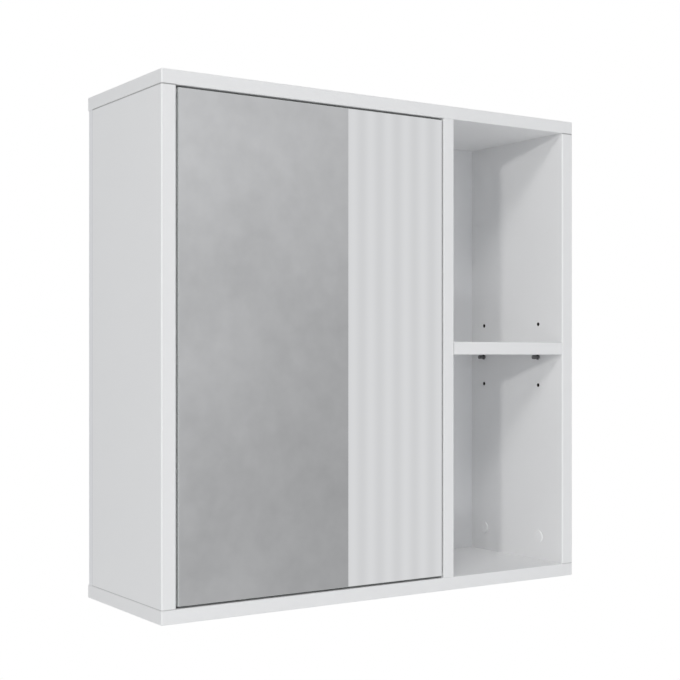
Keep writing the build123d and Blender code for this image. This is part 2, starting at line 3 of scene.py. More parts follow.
import bmesh
import bpy
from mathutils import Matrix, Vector


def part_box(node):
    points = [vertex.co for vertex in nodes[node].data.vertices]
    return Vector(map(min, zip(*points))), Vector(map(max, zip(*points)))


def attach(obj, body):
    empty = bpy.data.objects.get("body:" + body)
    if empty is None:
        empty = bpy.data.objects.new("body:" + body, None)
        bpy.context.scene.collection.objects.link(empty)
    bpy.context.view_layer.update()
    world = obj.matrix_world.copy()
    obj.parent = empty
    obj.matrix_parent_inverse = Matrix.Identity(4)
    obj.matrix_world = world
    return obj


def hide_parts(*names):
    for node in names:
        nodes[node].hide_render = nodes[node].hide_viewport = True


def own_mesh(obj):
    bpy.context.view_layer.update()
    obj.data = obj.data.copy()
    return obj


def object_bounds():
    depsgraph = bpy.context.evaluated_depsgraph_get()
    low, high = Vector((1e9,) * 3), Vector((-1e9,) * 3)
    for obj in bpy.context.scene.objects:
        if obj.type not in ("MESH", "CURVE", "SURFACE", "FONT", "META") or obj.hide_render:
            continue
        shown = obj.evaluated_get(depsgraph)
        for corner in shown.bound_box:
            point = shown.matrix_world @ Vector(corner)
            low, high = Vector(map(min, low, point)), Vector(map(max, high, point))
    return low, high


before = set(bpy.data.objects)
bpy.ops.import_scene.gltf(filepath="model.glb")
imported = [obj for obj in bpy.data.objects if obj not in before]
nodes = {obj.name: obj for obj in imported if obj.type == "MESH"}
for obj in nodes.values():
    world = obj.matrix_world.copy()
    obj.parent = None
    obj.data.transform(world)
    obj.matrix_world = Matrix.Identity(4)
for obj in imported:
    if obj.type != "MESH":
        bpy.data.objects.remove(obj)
cadBox = [list(corner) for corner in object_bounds()]
print("frame loaded:", len(nodes), "nodes")

scene = bpy.context.scene
scene.view_settings.view_transform = "Standard"

# Camera, found from six corners of the case, where its edges cross
cameraView = {
    "place": (-0.92012, -1.48193, 0.29015),
    "turn": -33.557,
    "lens": 69.56,
    "sensor": 36.0,
    "shiftUp": 0.02357,
}
cameraData = bpy.data.cameras.new("cabinetCamera")
cameraData.lens = cameraView["lens"]
cameraData.sensor_width = cameraView["sensor"]
cameraData.shift_y = cameraView["shiftUp"]
camera = bpy.data.objects.new("cabinetCamera", cameraData)
camera.location = cameraView["place"]
camera.rotation_euler = (math.radians(90), 0, math.radians(cameraView["turn"]))
scene.collection.objects.link(camera)
scene.camera = camera


# Small helpers for node trees
def addNode(tree, kind, links=None, **settings):
    node = tree.nodes.new(kind)
    for name, value in settings.items():
        setattr(node, name, value)
    for socket, value in (links or {}).items():
        connect(tree, value, node.inputs[socket])
    return node


def connect(tree, value, socket):
    # A socket is linked, and anything else becomes the socket's own value
    if isinstance(value, bpy.types.NodeSocket):
        tree.links.new(value, socket)
    else:
        socket.default_value = value


def calc(tree, operation, first, second=0.0, third=None):
    links = {0: first, 1: second}
    if third is not None:
        links[2] = third
    return addNode(tree, "ShaderNodeMath", links, operation=operation).outputs[0]


def newGroup(name, kind, inputs, outputs):
    tree = bpy.data.node_groups.new(name, kind)
    for label, socketType, value in inputs:
        socket = tree.interface.new_socket(label, in_out="INPUT", socket_type=socketType)
        if value is not None:
            socket.default_value = value
    for label, socketType in outputs:
        tree.interface.new_socket(label, in_out="OUTPUT", socket_type=socketType)
    return tree, tree.nodes.new("NodeGroupInput"), tree.nodes.new("NodeGroupOutput")


number, colour, direction = "NodeSocketFloat", "NodeSocketColor", "NodeSocketVector"


# Tone that drifts slowly over a surface, so that no board or sheet is one flat colour
def makeToneGroup():
    tree, given, result = newGroup(
        "slowTone", "ShaderNodeTree",
        [("Vector", direction, None), ("Colour", colour, (0.8, 0.8, 0.8, 1)), ("Amount", number, 0.02),
         ("Scale", number, 6.0)],
        [("Colour", colour), ("Drift", number)])
    broad = addNode(tree, "ShaderNodeTexNoise", {
        "Vector": given.outputs["Vector"], "Scale": given.outputs["Scale"], "Detail": 3.0, "Roughness": 0.6})
    fine = addNode(tree, "ShaderNodeTexNoise", {
        "Vector": given.outputs["Vector"], "Scale": calc(tree, "MULTIPLY", given.outputs["Scale"], 9.0),
        "Detail": 2.0})
    both = calc(tree, "ADD", calc(tree, "MULTIPLY", broad.outputs["Fac"], 0.7),
                calc(tree, "MULTIPLY", fine.outputs["Fac"], 0.3))
    drift = calc(tree, "SUBTRACT", both, 0.5)
    lift = calc(tree, "ADD", calc(tree, "MULTIPLY", drift, given.outputs["Amount"]), 1.0)
    toned = addNode(tree, "ShaderNodeVectorMath", {0: given.outputs["Colour"], 3: lift}, operation="SCALE")
    connect(tree, toned.outputs[0], result.inputs["Colour"])
    connect(tree, drift, result.inputs["Drift"])
    return tree


# The fine pearl of a melamine face or a moulded part
def makePearlGroup():
    tree, given, result = newGroup(
        "finePearl", "ShaderNodeTree",
        [("Vector", direction, None), ("Scale", number, 1400.0), ("Base", number, 0.4),
         ("Spread", number, 0.06)],
        [("Height", number), ("Roughness", number)])
    cells = addNode(tree, "ShaderNodeTexVoronoi", {
        "Vector": given.outputs["Vector"], "Scale": given.outputs["Scale"]}, feature="SMOOTH_F1")
    grain = addNode(tree, "ShaderNodeTexNoise", {
        "Vector": given.outputs["Vector"], "Scale": calc(tree, "MULTIPLY", given.outputs["Scale"], 0.55),
        "Detail": 2.0})
    height = calc(tree, "ADD", calc(tree, "MULTIPLY", cells.outputs["Distance"], 0.6), grain.outputs["Fac"])
    patch = addNode(tree, "ShaderNodeTexNoise", {
        "Vector": given.outputs["Vector"], "Scale": 7.0, "Detail": 2.0})
    swing = calc(tree, "MULTIPLY", calc(tree, "SUBTRACT", patch.outputs["Fac"], 0.5), given.outputs["Spread"])
    connect(tree, height, result.inputs["Height"])
    connect(tree, calc(tree, "ADD", given.outputs["Base"], swing), result.inputs["Roughness"])
    return tree


# Fine parallel marks left by rolling, turning or polishing metal
def makeBrushGroup():
    tree, given, result = newGroup(
        "brushMarks", "ShaderNodeTree",
        [("Vector", direction, None), ("Along", direction, (1.0, 1.0, 1.0)), ("Scale", number, 900.0),
         ("Base", number, 0.3), ("Spread", number, 0.12)],
        [("Height", number), ("Roughness", number)])
    stretched = addNode(tree, "ShaderNodeVectorMath", {0: given.outputs["Vector"], 1: given.outputs["Along"]},
                        operation="MULTIPLY")
    marks = addNode(tree, "ShaderNodeTexNoise", {
        "Vector": stretched.outputs[0], "Scale": given.outputs["Scale"], "Detail": 4.0, "Roughness": 0.7})
    stain = addNode(tree, "ShaderNodeTexNoise", {
        "Vector": given.outputs["Vector"], "Scale": 60.0, "Detail": 3.0})
    mixed = calc(tree, "ADD", calc(tree, "MULTIPLY", marks.outputs["Fac"], 0.6),
                 calc(tree, "MULTIPLY", stain.outputs["Fac"], 0.4))
    swing = calc(tree, "MULTIPLY", calc(tree, "SUBTRACT", mixed, 0.5), given.outputs["Spread"])
    connect(tree, marks.outputs["Fac"], result.inputs["Height"])
    connect(tree, calc(tree, "ADD", given.outputs["Base"], swing), result.inputs["Roughness"])
    return tree


# A hairline across a board at one place along an axis, as where its edging or its neighbour meets it
def makeSeamGroup():
    tree, given, result = newGroup(
        "boardSeam", "ShaderNodeTree",
        [("Vector", direction, None), ("Axis", direction, (0.0, 1.0, 0.0)), ("Place", number, -0.198),
         ("Width", number, 0.00012)],
        [("Seam", number)])
    along = addNode(tree, "ShaderNodeVectorMath", {0: given.outputs["Vector"], 1: given.outputs["Axis"]},
                    operation="DOT_PRODUCT")
    away = calc(tree, "ABSOLUTE", calc(tree, "SUBTRACT", along.outputs["Value"], given.outputs["Place"]))
    seam = calc(tree, "SUBTRACT", 1.0, calc(tree, "DIVIDE", away, given.outputs["Width"]))
    connect(tree, addNode(tree, "ShaderNodeClamp", {0: seam}).outputs[0], result.inputs["Seam"])
    return tree


# Walls of the drilled rows of shelf-pin holes, painted near-black as painted shade over the raw chipboard:
# near a hole's axis and below the panel's face
def makeDrilledGroup():
    tree, given, result = newGroup(
        "drilledHole", "ShaderNodeTree",
        [("Vector", direction, None), ("Front column", number, -0.153), ("Rear column", number, -0.04),
         ("Low row", number, 0.251), ("Middle row", number, 0.2886), ("High row", number, 0.333),
         ("Reach", number, 0.0028), ("Bay end", number, 0.282), ("Divider from", number, 0.084),
         ("Divider to", number, 0.1), ("Sunk", number, 0.0001), ("Outside", number, 0.298)],
        [("Mask", number)])
    axes = addNode(tree, "ShaderNodeSeparateXYZ", {0: given.outputs["Vector"]})

    def nearest(axis, labels):
        best = None
        for label in labels:
            away = calc(tree, "ABSOLUTE", calc(tree, "SUBTRACT", axes.outputs[axis], given.outputs[label]))
            best = away if best is None else calc(tree, "MINIMUM", best, away)
        return best

    across = nearest("Y", ("Front column", "Rear column"))
    up = nearest("Z", ("Low row", "Middle row", "High row"))
    squares = calc(tree, "ADD", calc(tree, "POWER", across, 2.0), calc(tree, "POWER", up, 2.0))
    away = calc(tree, "SQRT", squares)
    near = calc(tree, "LESS_THAN", away, given.outputs["Reach"])
    aside = calc(tree, "ABSOLUTE", axes.outputs["X"])
    outer = calc(tree, "MULTIPLY",
                 calc(tree, "GREATER_THAN", aside,
                      calc(tree, "ADD", given.outputs["Bay end"], given.outputs["Sunk"])),
                 calc(tree, "LESS_THAN", aside, given.outputs["Outside"]))
    inner = calc(tree, "MULTIPLY",
                 calc(tree, "GREATER_THAN", axes.outputs["X"],
                      calc(tree, "ADD", given.outputs["Divider from"], given.outputs["Sunk"])),
                 calc(tree, "LESS_THAN", axes.outputs["X"],
                      calc(tree, "SUBTRACT", given.outputs["Divider to"], given.outputs["Sunk"])))
    connect(tree, calc(tree, "MULTIPLY", near, calc(tree, "MAXIMUM", outer, inner)), result.inputs["Mask"])
    return tree


toneGroup = makeToneGroup()
drilledGroup = makeDrilledGroup()
pearlGroup = makePearlGroup()
brushGroup = makeBrushGroup()
seamGroup = makeSeamGroup()


def startMaterial(name):
    material = bpy.data.materials.new(name)
    material.use_nodes = True
    tree = material.node_tree
    surface = tree.nodes["Principled BSDF"]
    place = addNode(tree, "ShaderNodeTexCoord")
    return material, tree, surface, place


def useGroup(tree, group, links):
    node = tree.nodes.new("ShaderNodeGroup")
    node.node_tree = group
    for label, value in links.items():
        connect(tree, value, node.inputs[label])
    return node


def addBump(tree, surface, height, strength, depth):
    bump = addNode(tree, "ShaderNodeBump", {"Strength": strength, "Distance": depth, "Height": height})
    tree.links.new(bump.outputs["Normal"], surface.inputs["Normal"])


# Directions that a board's joints are measured along
upward, inward = (0.0, 0.0, 1.0), (0.0, 1.0, 0.0)

# Boards: white melamine with a pearl finish and the seam of the edging near the front where there is one. The
# panels also show their joints with the boards above, below and behind, outside the bays only, as dark lines
# that carry painted shade, darkest as the painted shadow under the overhanging top board and fainter at the
# bottom board.
boardFinish = {
    "colour": (0.905, 0.907, 0.912, 1),
    "roughness": 0.36,
    "pearl": 1500.0,
    "pearlDepth": 0.00002,
    "seamTone": 0.55,
    "seamColour": (0.3, 0.3, 0.31, 1),
    "drift": 0.02,
    "bump": 0.25,
    "specular": 0.42,
    "edging": 0.0021,
    # Near-black colour of the hole walls: painted shade inside the pin holes over the raw chipboard
    "rawBoardInShade": (0.03, 0.024, 0.018, 1),
    # Dark tone of the joint lines, which also carries painted shade under the overhanging boards
    "jointShadeTone": (0.12, 0.12, 0.125, 1),
    "jointsFrom": 0.2822,
    # Each joint: axis, place, width and depth of the dark line; the depths paint the shade under the top
    # board darker than at the bottom
    "joints": ((upward, 0.584, 0.0014, 0.9), (upward, 0.016, 0.001, 0.6), (inward, -0.013, 0.0007, 0.45)),
}


def makeBoardMaterial(name, seamPlace=None, tint=(1, 1, 1), drilled=False):
    material, tree, surface, place = startMaterial(name)
    vector = place.outputs["Object"]
    base = tuple(c * t for c, t in zip(boardFinish["colour"], tint)) + (1,)
    tone = useGroup(tree, toneGroup, {
        "Vector": vector, "Colour": base, "Amount": boardFinish["drift"], "Scale": 4.0})
    pearl = useGroup(tree, pearlGroup, {
        "Vector": vector, "Scale": boardFinish["pearl"], "Base": boardFinish["roughness"], "Spread": 0.1})
    shade = tone.outputs["Colour"]
    if seamPlace is not None:
        seam = useGroup(tree, seamGroup, {"Vector": vector, "Place": seamPlace})
        darker = addNode(tree, "ShaderNodeMix", {
            "Factor": calc(tree, "MULTIPLY", seam.outputs["Seam"], boardFinish["seamTone"]),
            6: shade, 7: boardFinish["seamColour"]}, data_type="RGBA")
        shade = darker.outputs[2]
    if drilled:
        axes = addNode(tree, "ShaderNodeSeparateXYZ", {0: vector})
        aside = calc(tree, "ABSOLUTE", axes.outputs["X"])
        outside = calc(tree, "GREATER_THAN", aside, boardFinish["jointsFrom"])
        # Joint lines outside the bays: partly real joint, partly painted shade under the overhanging boards
        for axis, meeting, width, depth in boardFinish["joints"]:
            joint = useGroup(tree, seamGroup, {
                "Vector": vector, "Axis": axis, "Place": meeting, "Width": width})
            dark = calc(tree, "MULTIPLY", joint.outputs["Seam"], depth)
            shadow = addNode(tree, "ShaderNodeMix", {
                "Factor": calc(tree, "MULTIPLY", dark, outside), 6: shade, 7: boardFinish["jointShadeTone"]},
                data_type="RGBA")
            shade = shadow.outputs[2]
        # Pin-hole walls painted near-black: painted shade in the holes, over the raw chipboard
        holeShade = useGroup(tree, toneGroup, {
            "Vector": vector, "Colour": boardFinish["rawBoardInShade"], "Amount": 1.1, "Scale": 900.0})
        hole = useGroup(tree, drilledGroup, {"Vector": vector})
        holeShadeMix = addNode(tree, "ShaderNodeMix", {
            "Factor": hole.outputs["Mask"], 6: shade, 7: holeShade.outputs["Colour"]}, data_type="RGBA")
        shade = holeShadeMix.outputs[2]
    tree.links.new(shade, surface.inputs["Base Color"])
    tree.links.new(pearl.outputs["Roughness"], surface.inputs["Roughness"])
    surface.inputs["Specular IOR Level"].default_value = boardFinish["specular"]
    addBump(tree, surface, pearl.outputs["Height"], boardFinish["bump"], boardFinish["pearlDepth"])
    return material


# Mirror: silvered from the front, grey paint behind, and a polished glass edge all round
mirrorFinish = {
    "silver": (0.935, 0.937, 0.94, 1),
    "edge": (0.56, 0.585, 0.58, 1),
    "backPaint": (0.24, 0.25, 0.26, 1),
    "facing": 0.9,
    "haze": 0.012,
    "edgeRoughness": 0.16,
}


def makeMirrorMaterial():
    material, tree, surface, place = startMaterial("silveredGlass")
    axes = addNode(tree, "ShaderNodeSeparateXYZ", {0: place.outputs["Normal"]})
    isFront = calc(tree, "LESS_THAN", axes.outputs["Y"], -mirrorFinish["facing"])
    isBack = calc(tree, "GREATER_THAN", axes.outputs["Y"], mirrorFinish["facing"])
    tone = useGroup(tree, toneGroup, {
        "Vector": place.outputs["Object"], "Colour": mirrorFinish["silver"],
        "Amount": mirrorFinish["haze"], "Scale": 5.0})
    sides = addNode(tree, "ShaderNodeMix", {
        "Factor": isBack, 6: mirrorFinish["edge"], 7: mirrorFinish["backPaint"]}, data_type="RGBA")
    shade = addNode(tree, "ShaderNodeMix", {
        "Factor": isFront, 6: sides.outputs[2], 7: tone.outputs["Colour"]}, data_type="RGBA")
    haze = calc(tree, "MULTIPLY", calc(tree, "ADD", tone.outputs["Drift"], 0.5), mirrorFinish["haze"])
    dull = calc(tree, "MULTIPLY", calc(tree, "SUBTRACT", 1.0, isFront), mirrorFinish["edgeRoughness"])
    tree.links.new(shade.outputs[2], surface.inputs["Base Color"])
    tree.links.new(isFront, surface.inputs["Metallic"])
    tree.links.new(calc(tree, "ADD", haze, dull), surface.inputs["Roughness"])
    return material


# Metals: rolled, turned or cast, with marks along the way they were worked
metalFinishes = {
    "nickelSheet": {"colour": (0.62, 0.61, 0.59, 1), "roughness": 0.22, "marks": (1, 8, 1), "scale": 240.0,
                    "depth": 0.000012},
    "zincScrew": {"colour": (0.58, 0.59, 0.6, 1), "roughness": 0.3, "marks": (1, 1, 1), "scale": 700.0,
                  "depth": 0.00001},
    "zincSheet": {"colour": (0.55, 0.56, 0.57, 1), "roughness": 0.34, "marks": (6, 1, 1), "scale": 260.0,
                  "depth": 0.000012},
    "castZinc": {"colour": (0.5, 0.51, 0.52, 1), "roughness": 0.45, "marks": (1, 1, 1), "scale": 500.0,
                 "depth": 0.00003},
    "darkNickel": {"colour": (0.2, 0.2, 0.205, 1), "roughness": 0.24, "marks": (9, 1, 1), "scale": 300.0,
                   "depth": 0.00001},
    "springSteel": {"colour": (0.4, 0.4, 0.42, 1), "roughness": 0.27, "marks": (1, 5, 1), "scale": 500.0,
                    "depth": 0.00001},
}


def makeMetalMaterial(name):
    finish = metalFinishes[name]
    material, tree, surface, place = startMaterial(name)
    vector = place.outputs["Object"]
    tone = useGroup(tree, toneGroup, {
        "Vector": vector, "Colour": finish["colour"], "Amount": 0.12, "Scale": 70.0})
    marks = useGroup(tree, brushGroup, {
        "Vector": vector, "Along": finish["marks"], "Scale": finish["scale"], "Base": finish["roughness"],
        "Spread": 0.16})
    tree.links.new(tone.outputs["Colour"], surface.inputs["Base Color"])
    tree.links.new(marks.outputs["Roughness"], surface.inputs["Roughness"])
    surface.inputs["Metallic"].default_value = 1.0
    addBump(tree, surface, marks.outputs["Height"], 0.3, finish["depth"])
    return material


# Moulded plastics and the foam of the mirror tape
softFinishes = {
    "capPlastic": {"colour": (0.93, 0.93, 0.935, 1), "roughness": 0.3, "pearl": 2200.0, "depth": 0.00001,
                   "amount": 0.02},
    "latchNylon": {"colour": (0.23, 0.235, 0.245, 1), "roughness": 0.5, "pearl": 1800.0, "depth": 0.00003,
                   "amount": 0.08},
    "foamTape": {"colour": (0.7, 0.7, 0.68, 1), "roughness": 0.85, "pearl": 900.0, "depth": 0.0002,
                 "amount": 0.08},
}


def makeMouldedMaterial(name):
    finish = softFinishes[name]
    material, tree, surface, place = startMaterial(name)
    vector = place.outputs["Object"]
    tone = useGroup(tree, toneGroup, {
        "Vector": vector, "Colour": finish["colour"], "Amount": finish["amount"], "Scale": 40.0})
    pearl = useGroup(tree, pearlGroup, {
        "Vector": vector, "Scale": finish["pearl"], "Base": finish["roughness"], "Spread": 0.08})
    tree.links.new(tone.outputs["Colour"], surface.inputs["Base Color"])
    tree.links.new(pearl.outputs["Roughness"], surface.inputs["Roughness"])
    addBump(tree, surface, pearl.outputs["Height"], 0.4, finish["depth"])
    return material


beechFinish = {
    "colour": (0.58, 0.41, 0.25, 1),
    "streak": (0.42, 0.27, 0.15, 1),
    "streakShare": 0.3,
    "grainScale": 300.0,
    "roughness": 0.7,
    "depth": 0.00005,
}


def makeBeechMaterial():
    material, tree, surface, place = startMaterial("beechDowel")
    vector = place.outputs["Object"]
    grain = addNode(tree, "ShaderNodeTexWave", {
        "Vector": vector, "Scale": beechFinish["grainScale"], "Distortion": 5.0, "Detail": 3.0,
        "Detail Scale": 2.0},
        bands_direction="Y")
    tone = useGroup(tree, toneGroup, {
        "Vector": vector, "Colour": beechFinish["colour"], "Amount": 0.25, "Scale": 90.0})
    streak = addNode(tree, "ShaderNodeMix", {
        "Factor": calc(tree, "MULTIPLY", grain.outputs["Fac"], beechFinish["streakShare"]),
        6: tone.outputs["Colour"], 7: beechFinish["streak"]}, data_type="RGBA")
    tree.links.new(streak.outputs[2], surface.inputs["Base Color"])
    surface.inputs["Roughness"].default_value = beechFinish["roughness"]
    addBump(tree, surface, grain.outputs["Fac"], 0.4, beechFinish["depth"])
    return material


frontSeam = cadBox[0][1] + boardFinish["edging"]
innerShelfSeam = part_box("inner_shelf")[0].y + boardFinish["edging"]
materials = {
    "board": makeBoardMaterial("whiteBoard", frontSeam),
    "drilledBoard": makeBoardMaterial("whiteDrilledBoard", frontSeam, drilled=True),
    "innerShelf": makeBoardMaterial("whiteBoardInner", innerShelfSeam),
    "doorBoard": makeBoardMaterial("whiteDoorBoard"),
    "backBoard": makeBoardMaterial("whiteBackBoard", tint=(0.97, 0.975, 0.985)),
    "mirror": makeMirrorMaterial(),
    "beech": makeBeechMaterial(),
}
materials.update({name: makeMetalMaterial(name) for name in metalFinishes})
materials.update({name: makeMouldedMaterial(name) for name in softFinishes})

nodeFinishes = {
    "board": ["bottom_board", "top_board", "open_shelf"],
    "drilledBoard": ["left_side_panel", "right_side_panel", "centre_divider"],
    "innerShelf": ["inner_shelf"],
    "doorBoard": ["door_board"],
    "backBoard": ["back_board"],
    "mirror": ["mirror_glass"],
    "foamTape": ["mirror_tape"],
    "beech": ["wooden_dowels"],
    "castZinc": ["cam_locks", "cam_bolts"],
    "capPlastic": ["cam_cover_caps"],
    "darkNickel": ["shelf_pins"],
    "zincScrew": ["back_screws", "hanger_screws", "hinge_cup_screws", "hinge_plate_screws", "latch_screws",
                  "strike_screw", "hinge_arm_screws"],
    "zincSheet": ["hanger_plates", "strike_plate"],
    "nickelSheet": ["hinge_cups", "hinge_cup_pins", "hinge_arm_pins", "hinge_outer_links",
                    "hinge_inner_links", "hinge_inner_rivets", "hinge_arms", "hinge_mounting_plates"],
    "latchNylon": ["latch_body", "latch_plunger"],
    "springSteel": ["latch_magnet", "latch_spring"],
}
for finishName, members in nodeFinishes.items():
    for member in members:
        for slot in nodes[member].material_slots:
            slot.material = materials[finishName]
print("materials made:", len(materials))


# Places of a node's separate solids, read from the frame
def solidBoxes(nodeName):
    shape = bmesh.new()
    shape.from_mesh(nodes[nodeName].data)
    bmesh.ops.remove_doubles(shape, verts=shape.verts, dist=1e-6)
    waiting, boxes = set(shape.verts), []
    while waiting:
        stack, found = [waiting.pop()], []
        while stack:
            vertex = stack.pop()
            found.append(vertex.co.copy())
            for edge in vertex.link_edges:
                other = edge.other_vert(vertex)
                if other in waiting:
                    waiting.remove(other)
                    stack.append(other)
        low = Vector([min(p[i] for p in found) for i in range(3)])
        high = Vector([max(p[i] for p in found) for i in range(3)])
        boxes.append((low, high))
    shape.free()
    return sorted(boxes, key=lambda b: tuple(round(v, 5) for v in b[0]))


bays = ((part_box("left_side_panel")[1].x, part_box("centre_divider")[0].x),
        (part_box("centre_divider")[1].x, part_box("right_side_panel")[0].x))


# The way out of a panel's face at this place along X: towards the middle of the nearest bay
def intoBay(x):
    bay = min(bays, key=lambda b: max(b[0] - x, x - b[1]))
    return Vector((1.0 if x < sum(bay) / 2 else -1.0, 0.0, 0.0))


# Where a fastener's head sits: the middle of the end of its box that its axis points out of
def headPlaces(nodeName, axis=None):
    places = []
    for low, high in solidBoxes(nodeName):
        middle, half = (low + high) / 2, (high - low) / 2
        out = Vector(axis) if axis else intoBay(middle.x)
        reach = sum(abs(a) * h for a, h in zip(out, half))
        places.append((middle + out * reach, out))
    return places


# Geometry Nodes helpers: turned shapes are stacks of cones from one station to the next
def newShapeTree(name, sizes):
    tree, given, result = newGroup(
        name, "GeometryNodeTree",
        [("Places", "NodeSocketGeometry", None)] + [(label, number, value) for label, value in sizes.items()]
        + [("Finish", "NodeSocketMaterial", None)],
        [("Shape", "NodeSocketGeometry")])
    return tree, given, result


def turnedStack(tree, stations, sides):
    # stations: (radius, height) sockets or numbers, from the lowest up
    rings = []
    for (lowRadius, lowHeight), (highRadius, highHeight) in zip(stations, stations[1:]):
        cone = addNode(tree, "GeometryNodeMeshCone", {
            "Vertices": sides, "Radius Top": highRadius, "Radius Bottom": lowRadius,
            "Depth": calc(tree, "SUBTRACT", highHeight, lowHeight)}, fill_type="NONE")
        rise = addNode(tree, "ShaderNodeCombineXYZ", {"Z": lowHeight})
        rings.append(addNode(tree, "GeometryNodeTransform", {
            "Geometry": cone.outputs["Mesh"], "Translation": rise.outputs[0]}).outputs[0])
    for radius, height, turn in ((*stations[0], math.pi), (*stations[-1], 0.0)):
        disc = addNode(tree, "GeometryNodeMeshCircle", {"Vertices": sides, "Radius": radius},
                       fill_type="NGON")
        rise = addNode(tree, "ShaderNodeCombineXYZ", {"Z": height})
        rings.append(addNode(tree, "GeometryNodeTransform", {
            "Geometry": disc.outputs["Mesh"], "Translation": rise.outputs[0],
            "Rotation": (turn, 0, 0)}).outputs[0])
    joined = tree.nodes.new("GeometryNodeJoinGeometry")
    for ring in rings:
        tree.links.new(ring, joined.inputs[0])
    welded = addNode(tree, "GeometryNodeMergeByDistance", {"Geometry": joined.outputs[0], "Distance": 5e-6})
    return welded.outputs[0]


def placeOnPoints(tree, given, result, shape):
    turn = addNode(tree, "GeometryNodeInputNamedAttribute", {"Name": "turn"}, data_type="FLOAT_VECTOR")
    spin = addNode(tree, "FunctionNodeEulerToRotation", {0: turn.outputs["Attribute"]})
    copies = addNode(tree, "GeometryNodeInstanceOnPoints", {
        "Points": given.outputs["Places"], "Instance": shape, "Rotation": spin.outputs[0]})
    real = addNode(tree, "GeometryNodeRealizeInstances", {0: copies.outputs[0]})
    painted = addNode(tree, "GeometryNodeSetMaterial", {
        "Geometry": real.outputs[0], "Material": given.outputs["Finish"]})
    connect(tree, painted.outputs[0], result.inputs["Shape"])


def growPiece(name, tree, places, sizes, finish, body, replaced):
    points = bpy.data.meshes.new(name + "Points")
    points.from_pydata([tuple(p) for p, axis in places], [], [])
    turns = points.attributes.new("turn", "FLOAT_VECTOR", "POINT")
    for index, (place, axis) in enumerate(places):
        turns.data[index].vector = axis.to_track_quat("Z", "Y").to_euler()
    holder = bpy.data.objects.new(name + "Points", points)
    scene.collection.objects.link(holder)
    modifier = holder.modifiers.new("grow", "NODES")
    modifier.node_group = tree
    for item in tree.interface.items_tree:
        if item.in_out != "INPUT" or item.socket_type == "NodeSocketGeometry":
            continue
        modifier[item.identifier] = finish if item.name == "Finish" else float(sizes[item.name])
    evaluated = holder.evaluated_get(bpy.context.evaluated_depsgraph_get())
    mesh = bpy.data.meshes.new_from_object(evaluated)
    holder.modifiers.remove(modifier)
    bpy.data.objects.remove(holder)
    mesh.polygons.foreach_set("use_smooth", [True] * len(mesh.polygons))
    mesh.set_sharp_from_angle(angle=math.radians(28))
    piece = bpy.data.objects.new(name, mesh)
    scene.collection.objects.link(piece)
    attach(piece, body)
    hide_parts(replaced)
    return piece


# Cover caps of the cams: a low dome with a rounded rim and a small spigot into the cam's cross
capSizes = {"Radius": 0.0085, "Thickness": 0.0011, "Rim": 0.0005, "Spigot radius": 0.0025, "Spigot": 0.0012}


def makeCapTree():
    tree, given, result = newShapeTree("coverCap", capSizes)
    radius, thick, rim = (given.outputs[label] for label in ("Radius", "Thickness", "Rim"))
    stations = [(radius, calc(tree, "MULTIPLY", thick, -1.0))]
    for angle in (0, 30, 60, 90):
        shrink = 1 - math.cos(math.radians(angle))
        lift = 1 - math.sin(math.radians(angle))
        stations.append((calc(tree, "SUBTRACT", radius, calc(tree, "MULTIPLY", rim, shrink)),
                         calc(tree, "MULTIPLY", rim, -lift - 0.12)))
    stations.append((calc(tree, "MULTIPLY", radius, 0.45), 0.0))
    dome = turnedStack(tree, stations, 48)
    spigotFoot = calc(tree, "MULTIPLY", calc(tree, "ADD", thick, given.outputs["Spigot"]), -1.0)
    spigot = turnedStack(tree, [(given.outputs["Spigot radius"], spigotFoot),
                                (given.outputs["Spigot radius"], calc(tree, "MULTIPLY", thick, -1.0))], 24)
    joined = tree.nodes.new("GeometryNodeJoinGeometry")
    tree.links.new(dome, joined.inputs[0])
    tree.links.new(spigot, joined.inputs[0])
    placeOnPoints(tree, given, result, joined.outputs[0])
    return tree


# Shelf pins: a stem in the panel's hole, a collar against the panel and a slimmer grooved nose
pinSizes = {"Stem radius": 0.00245, "Stem": 0.0075, "Collar radius": 0.0034, "Collar": 0.0022,
            "Nose radius": 0.0026, "Nose": 0.0075, "Ease": 0.0004}


def makePinTree():
    tree, given, result = newShapeTree("shelfPin", pinSizes)
    size = {label: given.outputs[label] for label in pinSizes}
    easedStem = calc(tree, "SUBTRACT", size["Stem radius"], size["Ease"])
    easedCollar = calc(tree, "SUBTRACT", size["Collar radius"], size["Ease"])
    easedNose = calc(tree, "SUBTRACT", size["Nose radius"], size["Ease"])
    full = calc(tree, "ADD", calc(tree, "ADD", size["Stem"], size["Collar"]), size["Nose"])
    seat = calc(tree, "ADD", size["Nose"], size["Collar"])

    def fromEnd(depth):
        return calc(tree, "MULTIPLY", depth, -1.0)

    def shifted(depth, step):
        return calc(tree, "ADD", fromEnd(depth), step)

    groove = calc(tree, "MULTIPLY", size["Nose"], 0.42)
    stations = [
        (easedStem, fromEnd(full)),
        (size["Stem radius"], shifted(full, size["Ease"])),
        (size["Stem radius"], fromEnd(seat)),
        (easedCollar, shifted(seat, 1e-6)),
        (size["Collar radius"], shifted(seat, size["Ease"])),
        (size["Collar radius"], calc(tree, "SUBTRACT", fromEnd(size["Nose"]), size["Ease"])),
        (easedCollar, fromEnd(size["Nose"])),
        (size["Nose radius"], shifted(size["Nose"], 1e-6)),
        (size["Nose radius"], shifted(groove, -0.0006)),
        (easedNose, shifted(groove, -0.0003)),
        (easedNose, shifted(groove, 0.0003)),
        (size["Nose radius"], shifted(groove, 0.0006)),
        (size["Nose radius"], fromEnd(size["Ease"])),
        (easedNose, 0.0),
    ]
    placeOnPoints(tree, given, result, turnedStack(tree, stations, 40))
    return tree


# Countersunk screws: a cross recess, a plain neck and a thread that runs to the point
screwTreeSizes = {"Head radius": 0.0035, "Head": 0.0022, "Shank": 0.00175, "Length": 0.03, "Slot": 0.0009,
                  "Slot depth": 0.0014, "Thread": 0.0004, "Pitch": 0.0014}


